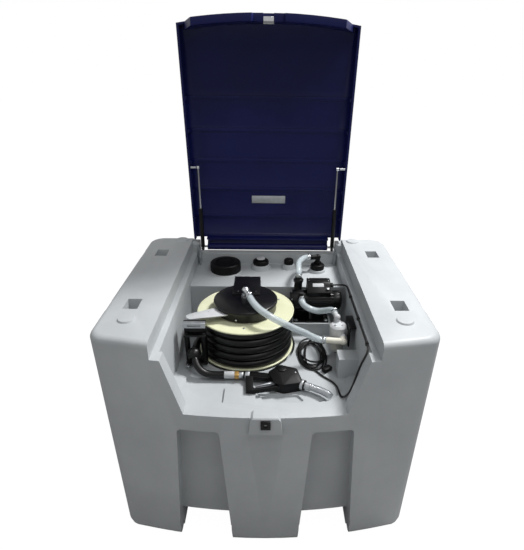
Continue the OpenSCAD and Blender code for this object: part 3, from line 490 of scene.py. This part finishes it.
def reel_details():
    x, y = REEL
    # cap screws round the cover's side, and hexagon bolts on its bracket
    for k in range(6):
        a = math.radians(15 + 60 * k)
        spot = (x + 119 * math.cos(a), y + 119 * math.sin(a), 816)
        turned(f"housing_screw_{k}", [(0, 4.2), (1.6, 3.8), (2.4, 2.4)], spot, (math.cos(a), math.sin(a), 0), ZINC,
               "tank", sides=20)
    for k, (bx, by) in enumerate(((-118, -8), (-46, -8), (-82, 20))):
        bolt(f"bracket_bolt_{k}", (bx, by, HOUSING_TOP + 5), (0, 0, 1), 7, BLACK_COAT, "tank")
    for k, bx in enumerate((-116, -48)):
        bolt(f"bracket_foot_bolt_{k}", (bx, 178, 805), (0, 0, 1), 7, BLACK_COAT, "tank")
    # pressed rings in the cover's top
    turned("housing_ring", [(-0.4, 62), (1.2, 62), (1.2, 58), (-0.4, 58)], (x, y, HOUSING_TOP), (0, 0, 1), BLACK_COAT,
           "tank", sides=64)
    # union nut and spanner flats of the swivel
    turned("swivel_collar", [(0, 15), (6, 15), (6, 13), (9, 13)], (x, y, 862), (0, 0, 1), ZINC, "tank")
    turned("swivel_nut", [(0, 14.5), (8, 14.5)], (x + 8.4, y - 20.4, 880.4), (14, -34, -6), ZINC, "tank",
           sides=6)
    # rivets on the top flange
    for k in range(6):
        a = math.radians(30 + 60 * k)
        spot = (x + 150 * math.cos(a), y + 150 * math.sin(a), 803)
        turned(f"flange_rivet_{k}", [(0, 5), (1.4, 4.4), (2, 2.4)], spot, (0, 0, 1), ZINC, "reel", sides=20)


reel_details()


# Guide of the delivery hose

def guide_details():
    for k, gx in enumerate((-290, -230)):
        turned(f"roller_sleeve_{k}", [(0, 8.1), (0, 9.2), (112, 9.2), (112, 8.1)], (gx, -207, 661), (0, 0, 1), BLACK_PP,
               "tank", sides=28)
        bolt(f"guide_nut_{k}", (gx, -207, 782), (0, 0, 1), 5.5, BLACK_COAT, "tank")
    bolt("guide_foot_nut", (-291, -224, 652), (0, 0, 1), 7, ZINC, "tank")
    for k, (bx, by) in enumerate(((-268, -160), (-214, -134))):
        turned(f"arm_rivet_{k}", [(0, 4.5), (1, 4.2), (1.6, 2.6)], (bx, by, 834), (0, 0, 1), PALE_COAT, "tank",
               sides=20)


guide_details()


# Pump, its motor and its fittings

def pump_details():
    head = (131, 88, 768)
    # screws round the head's front cover
    for k in range(6):
        a = math.radians(30 + 60 * k)
        spot = (head[0] - 26.2, head[1] + 39 * math.cos(a), head[2] + 39 * math.sin(a))
        bolt(f"cover_screw_{k}", spot, (-1, 0, 0), 4, ZINC, "tank")
    # feet of the base plate
    for k, (bx, by) in enumerate(((122, 34), (248, 34), (248, 126))):
        bolt(f"base_bolt_{k}", (bx, by, 700), (0, 0, 1), 7, ZINC, "tank")
    # ring between motor and head, and the fan cover's grille
    turned("motor_flange", [(0, 42), (5, 42), (5, 40)], (166.4, 84, 772), (1, 0, 0), BLACK_COAT, "tank",
           sides=48)
    for k in range(4):
        r = 8 + 7 * k
        turned(f"fan_slot_{k}", [(0, r + 2.2), (0.8, r + 1.6), (0.8, r - 1.6), (0, r - 2.2)], (312, 84, 772), (1, 0, 0),
               BLACK_PP, "tank", sides=40, edge=0.0001)
    # lid of the terminal box with its screws, and the bare label plate
    block("terminal_lid", (170, 96, 849.5), (261, 128, 852.5), BLACK_PP, "tank", edge=0.001)
    for k, (bx, by) in enumerate(((175, 101), (256, 101), (175, 123), (256, 123))):
        turned(f"terminal_screw_{k}", [(0, 2.6), (1.2, 2.6), (1.6, 1.8)], (bx, by, 852.4), (0, 0, 1), ZINC, "tank",
               sides=16, edge=0.0002)
    # bare label plate on the sloping front of the box, and the switch at its right end
    block("terminal_label", (190, 72.2, 840.9), (236, 88.2, 842.1), PALE_COAT, "tank", edge=0.0005,
          lean=39.2)
    block("pump_switch", (246, 60, 829), (258, 70, 837), CHROME, "tank", edge=0.002, lean=39.2)
    turned("cable_gland", [(0, 9.5), (9, 9.5), (11, 7.6)], (264.6, 92, 838), (1, 0, 0), BLACK_PP, "tank",
           sides=6)


pump_details()


# Clamps on the clear hoses

def clamps():
    def on(name, route, k, back, up=(0, 0, 1)):
        a, b = Vector(route[k]), Vector(route[back])
        way = (b - a).normalized()
        clamp(name, a + way * 9, way, 13.1, "tank", up)
    on("clamp_suction_elbow", SUCTION_ROUTE, 0, 1)
    on("clamp_suction_pump", SUCTION_ROUTE, -1, -2, (0, -1, 0))
    on("clamp_transfer_pump", TRANSFER_ROUTE, 0, 1)
    on("clamp_transfer_filter", TRANSFER_ROUTE, -1, -2)
    on("clamp_feed_filter", FEED_ROUTE, 0, 1)
    on("clamp_feed_reel", FEED_ROUTE, -1, -2)


clamps()


# Filter

def filter_details():
    x, y = 272, -136
    # pleated element seen through the bowl
    turned("filter_element", [(676, 15), (676, 18), (680, 19), (733, 19), (733, 15)], (x, y, 0), (0, 0, 1), NYLON, "tank",
           sides=48)
    turned("bowl_ring", [(726, 29), (726, 30.5), (737.6, 30.5), (737.6, 29)], (x, y, 0), (0, 0, 1), CAST_ALU, "tank",
           sides=48)
    turned("bowl_drain", [(656, 4), (656, 7), (664.4, 7), (664.4, 4)], (x, y, 0), (0, 0, 1), BLACK_PP, "tank",
           sides=12)
    for k in range(4):
        a = math.radians(45 + 90 * k)
        bolt(f"filter_screw_{k}", (x + 19 * math.cos(a), y + 19 * math.sin(a), 786), (0, 0, 1), 3.6, ZINC, "tank")


filter_details()


# Nozzle

NOZZLE = Vector((-0.080, -0.290, 0.662))
NOZZLE_TURN = math.radians(-9)


def on_nozzle(u, v, w):
    """A place on the lying nozzle in millimetres: u along it, v to its trigger side, w up."""
    c, s = math.cos(NOZZLE_TURN), math.sin(NOZZLE_TURN)
    return NOZZLE / MM + Vector((u * c - v * s, u * s + v * c, w))


def nozzle_details():
    turned("ferrule_sleeve", [(0, 12.6), (0, 13.6), (36, 13.6), (38, 12.6)], (-150.4, -290, 662), (1, 0, 0),
           PALE_COAT, "tank", sides=40)
    turned("ferrule_union", [(0, 11.9), (0, 12.8), (15.6, 12.8), (15.6, 11.9)], (-97.9, -290, 662), (1, 0, 0), ZINC,
           "tank", sides=40)
    ahead = on_nozzle(1, 0, 0) - on_nozzle(0, 0, 0)
    turned("nozzle_swivel", [(0, 12.5), (0, 15.6), (16, 15.6), (16, 12.5)], on_nozzle(6, 0, 0), ahead, CAST_ALU, "tank",
           sides=40)
    turned("nozzle_nose_ring", [(0, 15), (0, 18.6), (10, 18.6), (10, 15)], on_nozzle(208, -19.9, 0),
           on_nozzle(42, -12, 0) - on_nozzle(0, 0, 0), CAST_ALU, "tank", sides=40)
    turned("nozzle_cover", [(0, 17), (2.2, 17), (3.4, 14)], on_nozzle(134, 18, 30.2), (0, 0, 1), BLACK_PP, "tank",
           sides=40)
    for k, (u, v) in enumerate(((122, 34), (160, 30), (184, 8), (150, -40))):
        turned(f"nozzle_screw_{k}", [(0, 3), (1.4, 3), (1.8, 2)], on_nozzle(u, v, 18.2 if k == 3 else 27.6), (0, 0, 1),
               ZINC, "tank", sides=20, edge=0.0002)
    route = [(236, -28.2, 0), (252, -33, 0), (268, -39, 0), (284, -47, 1.5), (300, -58, 2.5), (310, -68, 3)]
    line = soft_line([on_nozzle(*p) * MM for p in route], 4)
    coil_spring("spout_spring", line, 0.0113, 0.0013, 0.0042, ZINC, "tank")


nozzle_details()


# Shelf caps

def cap_details():
    turned("filler_cap_disc", [(0, 48), (1.5, 48), (1.5, 44), (0, 44)], (-193, 310, 845.9), (0, 0, 1), BLACK_PP, "tank",
           sides=64)
    turned("vent_dome", [(0, 20), (2, 20), (4, 17), (5, 10)], (-31, 345, 848), (0, 0, 1), PALE_COAT, "tank",
           sides=48)
    turned("suction_ring", [(0, 24), (1.5, 24), (1.5, 21), (0, 21)], (232, 317, 835.9), (0, 0, 1), BLACK_PP, "tank",
           sides=48)


cap_details()


# Floor, backdrop and light

def stage_material():
    """White to the camera and in reflections, with the object's shadow kept."""
    made = bpy.data.materials.new("white_ground")
    made.use_nodes = True
    tree = made.node_tree
    tree.nodes.clear()
    matt = add(tree, "BsdfDiffuse", {"Color": paint("#A8A8A8")})
    glow = add(tree, "Emission", {"Color": paint("#FFFFFF"), "Strength": 1.16})
    seen = add(tree, "LightPath")
    share = add(tree, "Math", {0: seen.outputs["Is Camera Ray"], 1: 0.85}, operation="MULTIPLY")
    both = add(tree, "MixShader", {"Fac": share.outputs[0], 1: matt.outputs[0], 2: glow.outputs[0]})
    add(tree, "OutputMaterial", {"Surface": both.outputs[0]})
    return made


def add_stage():
    bpy.ops.object.select_all(action="DESELECT")
    bpy.ops.mesh.primitive_plane_add(size=40, location=(0, 0, -0.0005))
    ground = bpy.context.active_object
    ground.name = "ground"
    ground.data.materials.append(stage_material())


def add_light(name, place, target, width, depth, power):
    data = bpy.data.lights.new(name, "AREA")
    data.shape = "RECTANGLE"
    data.size = width
    data.size_y = depth
    data.energy = power
    lamp = bpy.data.objects.new(name, data)
    lamp.location = place
    lamp.rotation_euler = (Vector(target) - Vector(place)).to_track_quat("-Z", "Y").to_euler()
    scene.collection.objects.link(lamp)


def add_world():
    world = bpy.data.worlds.new("studio")
    scene.world = world
    world.use_nodes = True
    tree = world.node_tree
    tree.nodes.clear()
    seen = add(tree, "LightPath")
    shine = add(tree, "MapRange", {"Value": seen.outputs["Is Glossy Ray"], "To Min": 0.37, "To Max": 0.5})
    through = add(tree, "Math", {0: seen.outputs["Is Camera Ray"], 1: seen.outputs["Is Transmission Ray"]},
                  operation="MAXIMUM")
    level = add(tree, "Math", {0: shine.outputs["Result"], 1: through.outputs[0]}, operation="MAXIMUM")
    sky = add(tree, "Background", {"Color": paint("#FFFFFF"), "Strength": level.outputs[0]})
    add(tree, "OutputWorld", {"Surface": sky.outputs[0]})


add_stage()
add_world()
add_light("key", (1.5, 0.8, 3.6), (0, -0.1, 0.8), 0.6, 0.6, 130)
add_light("ceiling", (0.9, -1.3, 3.4), (0, 0, 0.9), 1.2, 0.8, 16)
add_light("fill", (-2.4, -1.4, 2.2), (0, 0, 0.6), 1.6, 1.6, 4)
